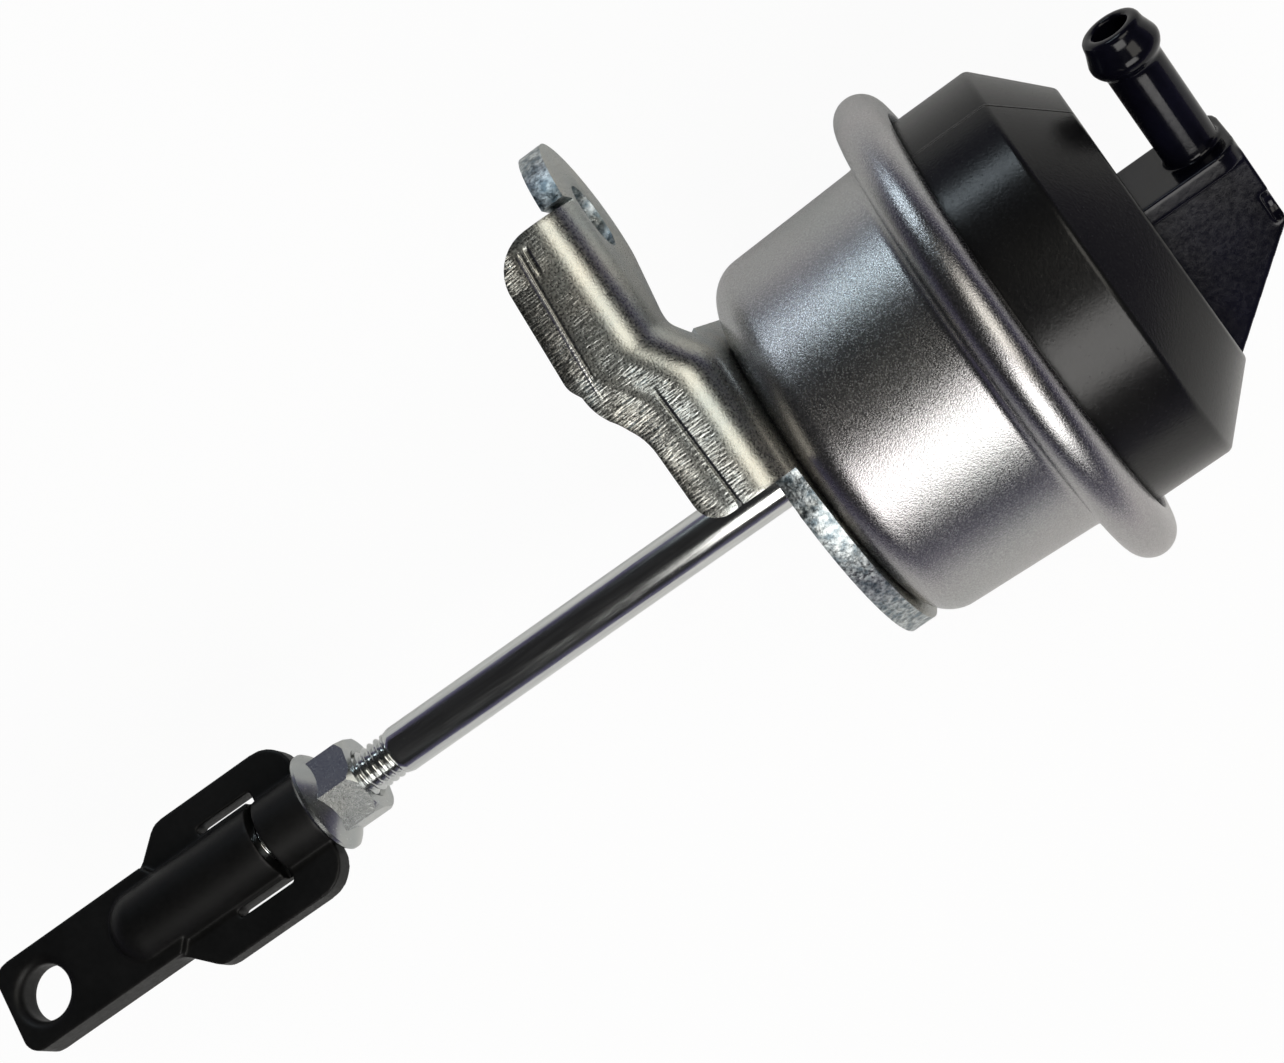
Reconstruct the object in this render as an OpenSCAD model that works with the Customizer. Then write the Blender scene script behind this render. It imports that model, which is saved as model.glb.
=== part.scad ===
// Wastegate actuator: a spring-loaded diaphragm can on a folded bracket, with a threaded
// push rod, a flange lock nut and a black rod end. The eye of the rod end is the origin,
// +Z runs along the rod towards the can, +X towards the bracket's mounting ear.

/* [Rod and thread] */
// Diameter of the plain rod
rod_d = 6.3; // [5.8:0.1:7]
// Outside diameter of the thread at the rod's lower end
thread_d = 5.9; // [5:0.1:6]
// Where the thread ends in a shoulder, above the centre of the eye
thread_end_z = 56.6; // [54:0.2:75]
// How far above the centre of the eye the threaded end of the rod stops
rod_foot_z = 14; // [12:0.5:24]
// Centre of the eye to the rod-side face of the bracket
eye_to_bracket = 119; // [100:1:160]

/* [Rod end] */
// Bore of the eye
eye_bore = 7.2; // [6:0.1:8]
// Width of the flat eye
eye_w = 12.8; // [10.6:0.1:13]
// Thickness of the flat eye
eye_t = 5; // [4:0.25:6.5]
// Radius of the rounded mouth of the eye's bore
eye_lead = 1.3; // [0.5:0.1:1.5]
// Width across the wings
wing_w = 21.2; // [18:0.2:24]
// Thickness of the wings
wing_t = 3; // [2:0.25:4]
// Diameter of the barrel that takes the thread
barrel_d = 10.6; // [9.4:0.2:11.6]
// Upper end of the rod end, where the nut bears on it
rod_end_z = 44.6; // [42:0.2:48]
// Width of the slot round the spring tongue
tongue_slot = 1.1; // [0.6:0.1:1.6]
// Turn of the eye about the rod, seen against the bracket
eye_roll = 21; // [0:1:45]

/* [Lock nut] */
// Width across the flats of the nut
nut_af = 10; // [9:0.5:11]
// Height of the nut with its flange
nut_h = 7.25; // [5:0.25:8]
// Diameter of the nut's flange
nut_flange_d = 13.8; // [12.6:0.2:15]

/* [Bracket] */
// Thickness of the bracket's sheet
sheet_t = 3; // [2:0.25:3.5]
// Inner bend radius of the folds
bend_r = 2; // [1.5:0.25:3]
// Diameter of the round plate under the can
plate_d = 47.6; // [44:0.2:52]
// Where the round plate is cut straight beside the neck, out from the rod axis
plate_flat_x = 20.8; // [20:0.2:22]
// Centre of the mounting hole, out from the rod axis
ear_x = 37.7; // [36:0.2:44]
// Centre of the mounting hole, sideways from the rod axis
ear_y = 17.4; // [12:0.2:18]
// Radius of the rounded ear
ear_r = 10.4; // [9:0.2:12]
// Diameter of the mounting hole
ear_hole_d = 8.4; // [6.4:0.2:10]
// How far the ear is stepped down towards the eye
jog = 3.4; // [3:0.2:6]
// Where the step starts, out from the rod axis
jog_x = 16.8; // [15:0.2:19]
// Run of the step between its two folds
jog_run = 5.8; // [5:0.2:7]
// Depth of the stiffening lip along the round plate, from the can side of the sheet
lip_h = 11.5; // [9:0.25:14]
// Depth of the stiffening lip along the ear, from the can side of the sheet
lip_ear_h = 12; // [9:0.25:15]

/* [Can] */
// Outside diameter of the can at its base
can_d = 50; // [48:0.2:52]
// Outside diameter of the can just below its rim
can_top_d = 51.2; // [50:0.2:53]
// Sheet thickness of the can
can_t = 1; // [0.8:0.1:1.2]
// Radius of the can's base corner
can_corner_r = 5; // [4:0.25:6]
// Height of the can from its base to the underside of the rim
can_h = 23.6; // [22:0.2:30]
// Outside diameter of the rolled rim
rim_d = 65.6; // [64:0.2:68]
// Height of the rolled rim
rim_h = 6.3; // [6:0.1:7]
// Inner diameter of the rim's turned-in edge
rim_lip_d = 56.6; // [56.2:0.2:58]

/* [Cover] */
// Outside diameter of the cover's wall
cover_d = 54.4; // [53:0.2:55]
// Wall thickness of the cover
cover_t = 2.2; // [1.8:0.1:2.6]
// Height of the cover's straight wall above the rim
cover_wall_h = 10.1; // [8.5:0.2:14]
// Height of the slope between the wall and the flat top
cover_slope_h = 7.4; // [6:0.2:9]
// Diameter of the flat top
cover_top_d = 40; // [36:0.2:42]

/* [Hose nipple] */
// Outside diameter of the nipple
nipple_d = 7.1; // [6.5:0.1:8]
// Bore of the nipple
nipple_bore = 4.6; // [3:0.1:5]
// Diameter of the barb
barb_d = 9; // [8.2:0.1:10]
// Height of the nipple's axis above the flat top
nipple_z = 8.6; // [7.5:0.1:11]
// Reach of the nipple from the can's axis to its tip
nipple_reach = 23.5; // [21:0.5:30]
// Direction of the nipple, turned from the bracket's ear
nipple_turn = 26; // [0:1:90]
// Height of the port block above the flat top
port_h = 13; // [12.5:0.1:15]

/* [Piston and diaphragm] */
// Outside diameter of the piston cup
piston_d = 38; // [36:0.2:38.4]
// Depth of the piston cup's skirt
piston_h = 10; // [7:0.5:11]
// Sheet thickness of the piston cup
piston_t = 1.2; // [0.8:0.1:1.5]
// Thickness of the diaphragm's rubber
diaphragm_t = 1; // [0.7:0.1:1.2]
// Diameter of the retainer plate over the diaphragm
retainer_d = 32; // [26:0.5:34]
// Thickness of the retainer plate and of the backing washer
plate_t = 1.5; // [1:0.1:2]
// Diameter of the rod's riveted tenon
tenon_d = 4.4; // [4:0.1:5]

/* [Return spring] */
// Wire diameter of the return spring
wire_d = 2.4; // [1.8:0.1:2.6]
// Mean diameter of the return spring's coils
coil_d = 31; // [29:0.2:31.4]
// Turns of the return spring, with a closed one at each end
coil_turns = 7; // [5:0.5:7]

/* [Rod guide] */
// Outside diameter of the guide bush where it passes the can's base
bush_d = 11.6; // [10:0.2:13]
// Diameter of the guide bush's flange inside the can
bush_flange_d = 16; // [15:0.5:17]
// Thickness of the guide bush's flange
bush_flange_t = 1.5; // [1:0.1:2]
// How far the guide bush stands out below the bracket
bush_out = 1.5; // [1:0.1:3]

/* [Hidden] */
$fn = 96;

// Clearances: a rod that runs, a piece that is pressed or laid in, a thread
run_gap = 0.05;
fit_gap = 0.1;
thread_gap = 0.05;
// Overlap that joins two shapes of one piece, or carries a cut past a face
join = 0.4;
cut = 1;

// Heights of the seats along the axis, from the eye upwards
can_z = eye_to_bracket + sheet_t;
floor_z = can_z + can_t;
rim_z = can_z + can_h;
clamp_z = rim_z + can_t;
rim_in_h = rim_h - 2 * can_t;
bead_h = rim_in_h / 2;
cover_z = clamp_z + bead_h;
cover_flange_h = rim_in_h - bead_h;
rim_top_z = rim_z + rim_h;
wall_top_z = rim_top_z + cover_wall_h;
top_z = wall_top_z + cover_slope_h;
ceiling_z = top_z - cover_t;

// Radii of the can and of what its rim holds
rim_round = rim_h / 2;
rim_c = [rim_d / 2 - rim_round, rim_z + rim_round];
can_top_r = can_top_d / 2;
can_in_r = can_top_r - can_t;
flare_r = 1.6;
held_round = rim_round - can_t - fit_gap;
cover_in_r = cover_d / 2 - cover_t;

// Stack on the rod's tenon, from the stop on the cover's ceiling downwards
stop_h = 4;
stop_gap = 0.2;
retainer_top_z = ceiling_z - stop_h - stop_gap;
diaphragm_top_z = retainer_top_z - plate_t;
piston_top_z = diaphragm_top_z - diaphragm_t;
washer_top_z = piston_top_z - piston_t;
tenon_z = washer_top_z - plate_t;
piston_r = piston_d / 2;
piston_round = 1.5;
rivet_d = tenon_d + 3.2;
rivet_h = 1.3;

// Spring seat and spring
seat_t = 1;
spring_z = floor_z + seat_t;
spring_top_z = washer_top_z;
bush_seat_z = floor_z + bush_flange_t;
seat_r = coil_d / 2 + wire_d / 2 + 1;

// Points on an arc about c from angle a to angle b
function arc(c, r, a, b, n = 8) =
    [for (i = [0:n]) c + r * [cos(a + (b - a) * i / n), sin(a + (b - a) * i / n)]];

// Turned shape from a section of [radius, height] points
module turned(section) {
    rotate_extrude() polygon(section);
}

module can() {
    base_r = can_d / 2;
    hole_r = bush_d / 2 + fit_gap;
    color("silver") turned(concat(
        [[hole_r, can_z]],
        arc([base_r - can_corner_r, can_z + can_corner_r], can_corner_r, -90, 0),
        arc([can_top_r + flare_r, rim_z - flare_r], flare_r, 180, 90, 5),
        arc(rim_c, rim_round, -90, 90, 14),
        [[rim_lip_d / 2, rim_top_z], [rim_lip_d / 2, rim_top_z - can_t]],
        arc(rim_c, rim_round - can_t, 90, -90, 12),
        arc([can_top_r + flare_r, rim_z - flare_r], flare_r + can_t, 90, 180, 5),
        arc([base_r - can_corner_r, can_z + can_corner_r], can_corner_r - can_t, 0, -90),
        [[hole_r, floor_z]]
    ));
}

// Direction of the nipple and of the port block behind it
module along_nipple() {
    translate([0, 0, top_z]) rotate([0, 0, nipple_turn]) children();
}

// Tube along the nipple's axis from a section of [radius, distance] points
module nipple_turned(section) {
    along_nipple() translate([0, 0, nipple_z]) rotate([0, 90, 0]) rotate_extrude() polygon(section);
}

port_w = 9;
port_collar_w = 12.4;
port_collar_x = 2.6;
port_face_x = 5;
port_flat_x = -8.2;
port_foot_x = 1 - cover_top_d / 2;
port_round = 1.4;

module port_block() {
    // Gusset that slopes down from the block to the far edge of the flat top
    along_nipple() rotate([90, 0, 0]) linear_extrude(port_w, center = true) polygon(concat(
        [[port_foot_x, -join], [port_face_x - join, -join]],
        arc([port_face_x - join - port_round, port_h - port_round], port_round, 0, 90, 4),
        arc([port_flat_x + port_round, port_h - port_round], port_round, 90, 145, 3),
        [[port_foot_x, 0]]
    ));
    // Collar round the root of the nipple, rounded over its top
    along_nipple() translate([port_collar_x, 0, 0]) rotate([90, 0, 90])
        linear_extrude(port_face_x - port_collar_x) polygon(concat(
            [[-port_collar_w / 2, -join], [port_collar_w / 2, -join]],
            arc([port_collar_w / 2 - 3, port_h - 3], 3, 0, 90, 6),
            arc([3 - port_collar_w / 2, port_h - 3], 3, 90, 180, 6)
        ));
}

module cover() {
    slope = 1.2;
    stop_r = 11;
    stop_w = 2;
    gate_r = 2.1;
    color("dimgray") difference() {
        union() {
            turned(concat(
                [[0, ceiling_z], [cover_top_d / 2 - cover_t - 0.4, ceiling_z]],
                [[cover_in_r, wall_top_z - 0.6], [cover_in_r, cover_z]],
                arc(rim_c, held_round, 0, 90, 6),
                [[rim_c[0], cover_z + cover_flange_h], [cover_d / 2, cover_z + cover_flange_h]],
                arc([cover_d / 2 - slope, wall_top_z - slope / 2], slope, 0, 45, 4),
                arc([cover_top_d / 2 - slope, top_z - slope], slope, 45, 90, 4),
                [[0, top_z]]
            ));
            port_block();
            nipple_turned([
                [0, port_collar_x + join],
                [nipple_d / 2, port_collar_x + join],
                [nipple_d / 2, nipple_reach - 5.3],
                [barb_d / 2 - 0.3, nipple_reach - 4.5],
                [barb_d / 2, nipple_reach - 3.8],
                [barb_d / 2, nipple_reach - 3.2],
                [nipple_d / 2 + 0.3, nipple_reach - 1.4],
                [nipple_d / 2 + 0.15, nipple_reach - 0.4],
                [nipple_d / 2 - 0.25, nipple_reach],
                [0, nipple_reach]
            ]);
            // Ring on the ceiling that stops the piston, open for the air in four places
            difference() {
                turned([[stop_r - stop_w, ceiling_z - stop_h], [stop_r, ceiling_z - stop_h],
                        [stop_r, ceiling_z + join], [stop_r - stop_w, ceiling_z + join]]);
                for (turn = [0, 90]) rotate([0, 0, turn])
                    translate([-stop_r - cut, -2, ceiling_z - stop_h - cut])
                        cube([2 * stop_r + 2 * cut, 4, stop_h]);
            }
        }
        // Air way: along the nipple, then down through the top
        nipple_turned([[0, 0], [nipple_bore / 2, 0], [nipple_bore / 2, nipple_reach + cut],
                       [0, nipple_reach + cut]]);
        translate([0, 0, ceiling_z - cut])
            cylinder(d = nipple_bore, h = cover_t + nipple_z + cut);
        // Hollow that the moulding gate leaves at the edge of the port block
        along_nipple() translate([port_flat_x + 3.2, port_w / 2 + 0.5, port_h - 1.3])
            cylinder(r = gate_r, h = 1.3 + cut);
    }
}

// Section of the diaphragm: clamped rim, hanging fold, inner leg and flat middle
module diaphragm() {
    t = diaphragm_t;
    leg_in = piston_r + fit_gap;
    leg_out = can_in_r - 0.4 - t;
    fold_r = (leg_out - leg_in - t) / 2;
    fold = [leg_in + t + fold_r, clamp_z - 5];
    shoulder = [piston_r + fit_gap - piston_round, piston_top_z - piston_round];
    edge_r = 1.2;
    color("black") turned(concat(
        [[tenon_d / 2 + fit_gap, piston_top_z]],
        arc(shoulder, piston_round, 90, 0, 5),
        arc(fold, fold_r + t, 180, 360, 10),
        arc([leg_out + t + edge_r - 0.5, clamp_z - edge_r + 0.5], edge_r, 180, 110, 4),
        [[rim_c[0], clamp_z]],
        arc(rim_c, held_round, -90, 0, 6),
        [[leg_out + edge_r, clamp_z + bead_h]],
        arc([leg_out + edge_r, clamp_z + bead_h - edge_r], edge_r, 90, 180, 4),
        arc(fold, fold_r, 360, 180, 8),
        arc(shoulder, piston_round + t, 0, 90, 5),
        [[tenon_d / 2 + fit_gap, diaphragm_top_z]]
    ));
}

// Folds of the bracket in the X-Z plane: the step down has one fold about step_c1, below the
// sheet, and one about step_c2, above it. The lip is bent down along the near side.
jog_a = atan2(jog, jog_run);
step_in = bend_r + 1;
step_out = step_in + sheet_t;
fold_out = bend_r + sheet_t;
near_y = ear_y + ear_r;
ear_z = can_z - jog;
lip_start = 0.8;
lip_end = ear_x + 2;
step_c1 = [jog_x - step_out * tan(jog_a / 2), can_z - step_out];
step_c2 = [jog_x + jog_run + step_in * tan(jog_a / 2), ear_z + step_in];

// Line along the sheet at a depth below its can-side face
function sheet_line(depth, from, to) = concat(
    [[from, can_z - depth]],
    arc(step_c1, step_out - depth, 90, 90 - jog_a, 5),
    arc(step_c2, step_in + depth, 270 - jog_a, 270, 5),
    [[to, ear_z - depth]]
);

// A side view in X and Z, extruded between two places across the sheet
module across_sheet(from_y, to_y) {
    translate([0, to_y, 0]) rotate([90, 0, 0]) linear_extrude(to_y - from_y) children();
}

// Side view of the sheet with its step
module sheet_outline() {
    under = sheet_line(sheet_t, -plate_d, ear_x + 2 * ear_r);
    last = len(under) - 1;
    polygon(concat(
        sheet_line(0, -plate_d, ear_x + 2 * ear_r),
        [for (i = [0:last]) under[last - i]]
    ));
}

// Side view of the lip, with its rounded corners and its free edge stepped like the sheet
module lip_outline() {
    corner_top = 5.5;
    corner_foot = 3;
    sweep_r = 8;
    foot_z = can_z - lip_h;
    head_z = ear_z - lip_ear_h;
    edge_a = atan2(foot_z - head_z, jog_run);
    edge_x = jog_x - lip_h * tan(jog_a / 2) / 2;
    head_c = [edge_x + jog_run + sweep_r * tan(edge_a / 2), head_z + sweep_r];
    foot_c = [edge_x - sweep_r * tan(edge_a / 2), foot_z - sweep_r];
    polygon(concat(
        sheet_line(0, lip_start, lip_end),
        arc([lip_end - corner_top, head_z + corner_top], corner_top, 0, -90, 6),
        arc(head_c, sweep_r, 270, 270 - edge_a, 4),
        arc(foot_c, sweep_r, 90 - edge_a, 90, 4),
        arc([lip_start + corner_foot, foot_z + corner_foot], corner_foot, -90, -180, 6)
    ));
}

// All that lies below the slanting face that touches the lip's fold at an angle from the
// sheet; beyond the end of the lip it leaves the ear's tip alone
module below_fold(slant) {
    shift = (near_y - fold_out) * sin(slant) + fold_out * (1 - cos(slant));
    far_x = ear_x + 2 * ear_r;
    rotate([90 - slant, 0, 0]) linear_extrude(3 * eye_to_bracket, center = true) polygon(concat(
        [for (p = sheet_line(0, -plate_d, lip_end)) [p[0], p[1] * cos(slant) + shift]],
        [[lip_end, eye_to_bracket + plate_d], [far_x, eye_to_bracket + plate_d]],
        [[far_x, 0], [-plate_d, 0]]
    ));
}

// Outline of the blank seen along the rod: round plate, neck and ear
module blank_outline() {
    neck = [jog_x + 6, ear_y - 2.6];
    neck_r = 3;
    intersection() {
        circle(d = plate_d);
        translate([-plate_d, -plate_d]) square([plate_d + plate_flat_x, 2 * plate_d]);
    }
    translate([ear_x, ear_y]) circle(ear_r);
    polygon(concat(
        [[lip_start, 0], [jog_x, 0], [plate_flat_x, ear_y - 6]],
        arc(neck, neck_r, 180, 62, 6),
        [[ear_x - ear_r * 0.6, ear_y - ear_r * 0.79], [ear_x, ear_y], [lip_end, ear_y]],
        [[lip_end, near_y], [lip_start, near_y]]
    ));
}

module bracket() {
    relief = 0.8;
    color("silver") difference() {
        intersection() {
            union() {
                intersection() {
                    across_sheet(-near_y, near_y) sheet_outline();
                    translate([0, 0, ear_z - 2 * sheet_t])
                        linear_extrude(jog + 3 * sheet_t) blank_outline();
                }
                across_sheet(near_y - sheet_t, near_y) lip_outline();
            }
            below_fold(22.5);
            below_fold(45);
            below_fold(67.5);
        }
        // Holes for the rod guide and for the mounting bolt
        translate([0, 0, eye_to_bracket - cut])
            cylinder(d = bush_d + 2 * fit_gap, h = sheet_t + 2 * cut);
        translate([ear_x, ear_y, ear_z - sheet_t - cut])
            cylinder(d = ear_hole_d, h = sheet_t + 2 * cut);
        // Relief between the lip's fold and the tip of the ear
        translate([lip_end - relief / 2, near_y - fold_out - relief, ear_z - sheet_t - cut])
            cube([relief, fold_out + relief + cut, sheet_t + 2 * cut]);
    }
}

wiper_d = bush_d - 2.4;
wiper_h = 1.6;
bush_foot_z = eye_to_bracket - bush_out;

module guide_bush() {
    bore_r = rod_d / 2 + run_gap;
    color("tan") turned([
        [wiper_d / 2, bush_foot_z], [bush_d / 2 - 0.4, bush_foot_z],
        [bush_d / 2, bush_foot_z + 0.4], [bush_d / 2, floor_z],
        [bush_flange_d / 2, floor_z], [bush_flange_d / 2, bush_seat_z],
        [bore_r + 0.4, bush_seat_z], [bore_r, bush_seat_z - 0.4],
        [bore_r, bush_foot_z + wiper_h], [wiper_d / 2, bush_foot_z + wiper_h]
    ]);
}

module rod_wiper() {
    lip_r = rod_d / 2 + run_gap;
    color("black") turned([
        [lip_r, bush_foot_z], [wiper_d / 2 - 0.02, bush_foot_z],
        [wiper_d / 2 - 0.02, bush_foot_z + wiper_h], [lip_r + 0.5, bush_foot_z + wiper_h],
        [lip_r, bush_foot_z + wiper_h / 2]
    ]);
}

// Pressed ring: its middle holds the bush down, its rim takes the spring
module spring_seat() {
    hub_r = bush_flange_d / 2 + 0.6;
    color("silver") turned([
        [rod_d / 2 + 1.2, bush_seat_z], [hub_r - 0.6, bush_seat_z], [hub_r + 0.9, floor_z],
        [seat_r, floor_z], [seat_r, floor_z + seat_t], [hub_r + 1.5, floor_z + seat_t],
        [hub_r - 0.1, bush_seat_z + seat_t], [rod_d / 2 + 1.2, bush_seat_z + seat_t]
    ]);
}

// Height of the wire's centre after a number of turns: closed at both ends, even between
function coil_z(turn) =
    let (span = spring_top_z - spring_z - wire_d,
         closed = 1,
         rise = (span - 2 * closed * wire_d) / (coil_turns - 2 * closed))
    turn < closed ? turn * wire_d
    : turn < coil_turns - closed ? closed * wire_d + (turn - closed) * rise
    : span - (coil_turns - turn) * wire_d;

module return_spring() {
    steps = 24;
    sides = 8;
    rings = ceil(coil_turns * steps);
    wire_r = wire_d / 2 * 0.995;
    points = [for (i = [0:rings]) let (turn = i / rings * coil_turns, a = 360 * turn)
        for (j = [0:sides - 1]) let (b = 360 * (j + 0.5) / sides, r = coil_d / 2 + wire_r * cos(b))
            [r * cos(a), r * sin(a), spring_z + wire_d / 2 + coil_z(turn) + wire_r * sin(b)]];
    skin = [for (i = [0:rings - 1]) for (j = [0:sides - 1]) let (k = (j + 1) % sides)
        each [[i * sides + j, (i + 1) * sides + j, i * sides + k],
              [i * sides + k, (i + 1) * sides + j, (i + 1) * sides + k]]];
    ends = [[for (j = [0:sides - 1]) j], [for (j = [sides - 1:-1:0]) rings * sides + j]];
    color("gray") polyhedron(points, concat(skin, ends), convexity = 10);
}

module rod() {
    r = rod_d / 2;
    tr = thread_d / 2;
    color("gainsboro") turned([
        [0, rod_foot_z], [tr - 0.8, rod_foot_z], [tr, rod_foot_z + 0.8], [tr, thread_end_z],
        [r, thread_end_z + 0.6], [r, tenon_z], [tenon_d / 2, tenon_z],
        [tenon_d / 2, retainer_top_z], [rivet_d / 2, retainer_top_z],
        [rivet_d / 2, retainer_top_z + 0.4], [rivet_d / 2 - 1.2, retainer_top_z + rivet_h],
        [0, retainer_top_z + rivet_h]
    ]);
}

module backing_washer() {
    hole_r = tenon_d / 2 + fit_gap;
    rim_r = 9;
    color("silver") turned([
        [hole_r, tenon_z], [rim_r, tenon_z], [rim_r, washer_top_z], [hole_r, washer_top_z]
    ]);
}

module piston_cup() {
    hole_r = tenon_d / 2 + fit_gap;
    round = [piston_r - piston_round, piston_top_z - piston_round];
    color("silver") turned(concat(
        [[hole_r, piston_top_z]],
        arc(round, piston_round, 90, 0, 5),
        [[piston_r, piston_top_z - piston_h], [piston_r - piston_t, piston_top_z - piston_h]],
        arc(round, piston_round - piston_t, 0, 90, 3),
        [[hole_r, washer_top_z]]
    ));
}

module retainer_plate() {
    hole_r = tenon_d / 2 + fit_gap;
    rim_r = retainer_d / 2;
    color("silver") turned([
        [hole_r, diaphragm_top_z], [rim_r - 0.6, diaphragm_top_z], [rim_r, diaphragm_top_z + 0.6],
        [rim_r, retainer_top_z], [hole_r, retainer_top_z]
    ]);
}

nut_flange_t = 1.1;
nut_turn = -10;

module lock_nut() {
    bore_r = thread_d / 2 + thread_gap;
    corner_r = nut_af / sqrt(3);
    flange_r = nut_flange_d / 2;
    color("silver") difference() {
        translate([0, 0, rod_end_z]) union() {
            rotate_extrude() polygon([
                [0, 0], [flange_r - 0.3, 0], [flange_r, 0.3], [flange_r, nut_flange_t - 0.2],
                [flange_r - 0.4, nut_flange_t + 0.1], [nut_af / 2, nut_flange_t + 0.9],
                [0, nut_flange_t + 0.9]
            ]);
            intersection() {
                rotate([0, 0, 90 + nut_turn]) cylinder(r = corner_r, h = nut_h, $fn = 6);
                rotate_extrude() polygon([
                    [0, 0], [corner_r + cut, 0], [corner_r + cut, nut_h - 1],
                    [nut_af / 2 - 0.2, nut_h], [0, nut_h]
                ]);
            }
        }
        translate([0, 0, rod_end_z]) rotate_extrude() polygon([
            [0, -cut], [bore_r + 0.5, -cut], [bore_r + 0.5, 0], [bore_r, 0.5],
            [bore_r, nut_h - 0.5], [bore_r + 0.5, nut_h], [bore_r + 0.5, nut_h + cut],
            [0, nut_h + cut]
        ]);
    }
}

// Outline of the rod end, half of it, from the tip of the eye to the nut
eye_tip_z = -5.5;
shoulder_z = 17.8;
wing_z = 24.6;
tongue_z = 28.4;
tongue_end_z = 36;
tongue_gap = 1.1;
slit_x = 5.6;

module rod_end() {
    half_eye = eye_w / 2;
    half_wing = wing_w / 2;
    barrel_r = barrel_d / 2;
    barrel_z = 11.5;
    tip_r = 2.4;
    wing_r = 4.4;
    wing_top_z = rod_end_z - 0.6;
    half = concat(
        [[0, eye_tip_z - 0.4]],
        arc([half_eye - tip_r, eye_tip_z + tip_r], tip_r, 275, 360, 6),
        arc([half_eye + 3, shoulder_z], 3, 180, 130, 4),
        arc([half_wing - 3, wing_z], 3, 310, 360, 4),
        arc([half_wing - wing_r, wing_top_z - wing_r], wing_r, 0, 80, 6),
        [[barrel_r, wing_top_z], [0, wing_top_z]]
    );
    color("#202022") rotate([0, 0, -eye_roll]) difference() {
        union() {
            // Flat wings along the whole piece, thicker over the eye
            for (side = [0, 1]) mirror([side, 0, 0]) {
                rotate([90, 0, 0]) linear_extrude(wing_t, center = true) polygon(half);
                rotate([90, 0, 0]) linear_extrude(eye_t, center = true) polygon(concat(
                    [[0, eye_tip_z - 0.4]],
                    arc([half_eye - tip_r, eye_tip_z + tip_r], tip_r, 275, 360, 6),
                    [[half_eye, barrel_z + 8], [0, barrel_z + 10]]
                ));
            }
            // Barrel for the thread, rounded off towards the eye
            turned(concat(
                [[0, barrel_z]],
                arc([barrel_r - 4.6, barrel_z + 4.6], 4.6, -80, 0, 6),
                [[barrel_r, rod_end_z - 0.5], [barrel_r - 0.5, rod_end_z], [0, rod_end_z]]
            ));
        }
        // Eye with its rounded mouths
        rotate([90, 0, 0]) cylinder(d = eye_bore, h = eye_t + 2 * cut, center = true);
        for (face = [90, -90]) rotate([face, 0, 0]) rotate_extrude() polygon(concat(
            [[0, eye_t / 2 - eye_lead], [eye_bore / 2 - 0.01, eye_t / 2 - eye_lead]],
            arc([eye_bore / 2 + eye_lead, eye_t / 2 - eye_lead], eye_lead, 180, 90, 5),
            [[eye_bore / 2 + eye_lead, eye_t / 2 + cut], [0, eye_t / 2 + cut]]
        ));
        // Threaded bore
        translate([0, 0, rod_foot_z - 1.2]) cylinder(d = thread_d + 2 * thread_gap, h = rod_end_z);
        // Slots on both sides and at the end of the spring tongue
        for (side = [-1, 1])
            translate([side * (slit_x + tongue_slot / 2) - tongue_slot / 2, -barrel_d, tongue_z])
                cube([tongue_slot, 2 * barrel_d, tongue_end_z - tongue_z + tongue_gap]);
        translate([-slit_x - tongue_slot / 2, 0, tongue_end_z])
            cube([2 * slit_x + tongue_slot, barrel_d, tongue_gap]);
    }
}

can();
cover();
diaphragm();
bracket();
guide_bush();
rod_wiper();
spring_seat();
return_spring();
rod();
backing_washer();
piston_cup();
retainer_plate();
lock_nut();
rod_end();
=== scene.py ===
import math
import bpy
import bmesh
from mathutils import Matrix, Vector


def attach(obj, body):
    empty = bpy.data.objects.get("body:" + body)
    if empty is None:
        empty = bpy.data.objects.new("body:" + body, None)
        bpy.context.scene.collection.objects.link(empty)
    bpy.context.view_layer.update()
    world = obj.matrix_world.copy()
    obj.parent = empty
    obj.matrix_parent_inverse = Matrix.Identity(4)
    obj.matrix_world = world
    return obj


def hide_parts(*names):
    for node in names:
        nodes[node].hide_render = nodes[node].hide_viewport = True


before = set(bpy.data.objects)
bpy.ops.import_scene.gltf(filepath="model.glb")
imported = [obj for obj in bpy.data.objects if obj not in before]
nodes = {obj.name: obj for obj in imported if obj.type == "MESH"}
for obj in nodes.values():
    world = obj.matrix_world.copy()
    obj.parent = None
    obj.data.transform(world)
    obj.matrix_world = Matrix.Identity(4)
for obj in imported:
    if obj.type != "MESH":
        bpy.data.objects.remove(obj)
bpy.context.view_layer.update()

# ---------------------------------------------------------------- camera
# The actuator lies flat and is seen from above, a little from the side of its eye. The rod
# runs from the lower left to the upper right of the picture.
camera_data = bpy.data.cameras.new("camera")
camera_data.lens = 81.3
camera_data.sensor_width = 36
camera = bpy.data.objects.new("camera", camera_data)
bpy.context.collection.objects.link(camera)
to_right = Vector((-0.5767, -0.1643, 0.8003))
to_top = Vector((0.8169, -0.1159, 0.5650))
towards_eye = Vector((0, 0.9796, 0.2011))
camera.matrix_world = (
    Matrix.Translation((0.00485, 0.347, 0.1695))
    @ Matrix((to_right, to_top, towards_eye)).transposed().to_4x4()
)
bpy.context.scene.camera = camera

# ---------------------------------------------------------------- table and light
# A white table that carries the rim of the can, in a dark room with three windows: a broad
# one on the left, a narrow one on the right, and a broad one above. Metal mirrors only a
# small share of the white, because the real part was photographed in a dark room.
bpy.context.scene.view_settings.view_transform = "Standard"

TABLE_HALF = 0.45
TABLE_PLACE = (0.04, -0.0331, 0.09)


def rotate_shape(shape, degrees, axis):
    """Turn a mesh about an axis through the origin."""
    bmesh.ops.rotate(shape, verts=shape.verts, cent=(0, 0, 0),
                     matrix=Matrix.Rotation(math.radians(degrees), 3, axis))


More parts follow.
